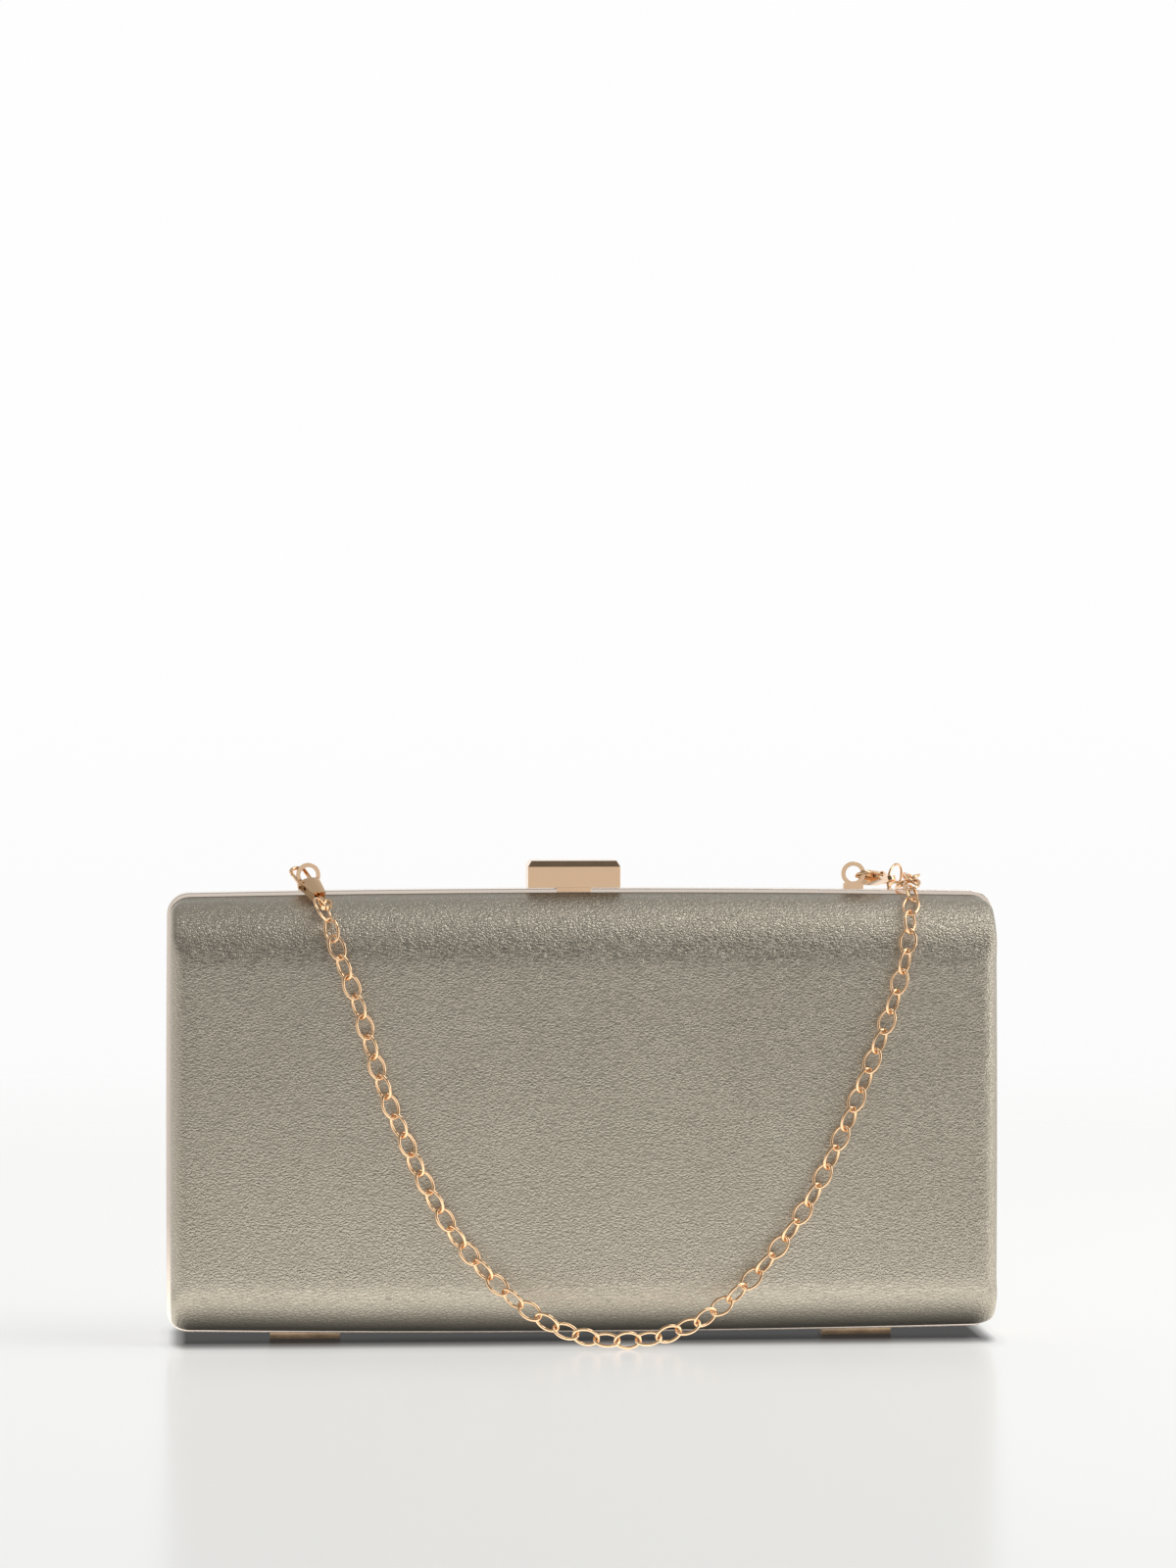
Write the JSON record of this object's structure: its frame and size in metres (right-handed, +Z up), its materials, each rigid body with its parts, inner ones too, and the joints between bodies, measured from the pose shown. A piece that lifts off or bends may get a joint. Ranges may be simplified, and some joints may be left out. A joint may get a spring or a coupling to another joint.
{
  "type": "box clutch bag",
  "caption": "Hard box clutch in metallic leather with a polished metal frame, tip-up clasp, bottom hinges and a link chain on snap hooks.",
  "frame": {"origin": "middle of the width on the surface that the bag stands on, under the parting plane of the two halves", "axes": "+X to the right seen from the front, +Y to the back, +Z up; the chained front faces -Y"},
  "size_m": [0.21, 0.0579, 0.1206],
  "materials": {
    "leather": "metallic pewter, finely creased",
    "core": "moulded",
    "lining": "woven satin",
    "frame_metal": "rose gold plated, polished",
    "clasp_metal": "rose gold plated, polished",
    "chain_metal": "rose gold plated, polished",
    "pin_metal": "plated",
    "spring_steel": "plain"
  },
  "bodies": {
    "front_case": {"cover_front": "leather", "core_front": "core", "lining_front": "lining", "rail_front": "frame_metal", "hinge_leaves_front": "frame_metal", "hinge_pins": "pin_metal", "lug_left": "frame_metal", "lug_right": "frame_metal", "clasp_bracket": "clasp_metal", "clasp_pin": "pin_metal", "clasp_spring": "spring_steel", "bracket_rivets": "pin_metal", "snap_left": "chain_metal", "snap_left_pin": "pin_metal", "snap_left_spring": "spring_steel", "snap_right": "chain_metal", "snap_right_pin": "pin_metal", "snap_right_spring": "spring_steel", "ring_left": "chain_metal", "ring_right": "chain_metal", "chain_left_fall": "chain_metal", "chain_floor": "chain_metal", "chain_right_rise": "chain_metal", "chain_over_rail": "chain_metal", "chain_behind": "chain_metal"},
    "back_case": {"cover_back": "leather", "core_back": "core", "lining_back": "lining", "rail_back": "frame_metal", "hinge_leaves_back": "frame_metal", "catch_plate": "clasp_metal", "catch_rivets": "pin_metal"},
    "clasp": {"clasp_block": "clasp_metal", "clasp_hook": "clasp_metal"},
    "trigger_left": {"snap_left_trigger": "chain_metal"},
    "trigger_right": {"snap_right_trigger": "chain_metal"}
  },
  "joints": [
    {"name": "case_open", "type": "hinge", "parent": "front_case", "child": "back_case", "pos_m": [0, 0, 0.0015], "axis": [-1, 0, 0], "range_deg": [0, 95], "deforming": ["chain_behind", "ring_right"]},
    {"name": "clasp_tip", "type": "hinge", "parent": "front_case", "child": "clasp", "pos_m": [-0.002, -0.004, 0.11656], "axis": [1, 0, 0], "range_deg": [0, 9], "stiffness_Nm_per_rad": 0.02, "springref_deg": -17.19},
    {"name": "trigger_left_press", "type": "hinge", "parent": "front_case", "child": "trigger_left", "pos_m": [-0.07054, -0.00993, 0.11468], "axis": [-0.0407, 0.4725, -0.8804], "range_deg": [0, 22], "stiffness_Nm_per_rad": 0.00002, "springref_deg": -14.32},
    {"name": "trigger_right_press", "type": "hinge", "parent": "front_case", "child": "trigger_right", "pos_m": [0.07636, 0.00117, 0.11666], "axis": [0.2374, -0.2596, -0.9361], "range_deg": [0, 22], "stiffness_Nm_per_rad": 0.00002, "springref_deg": -14.32}
  ]
}
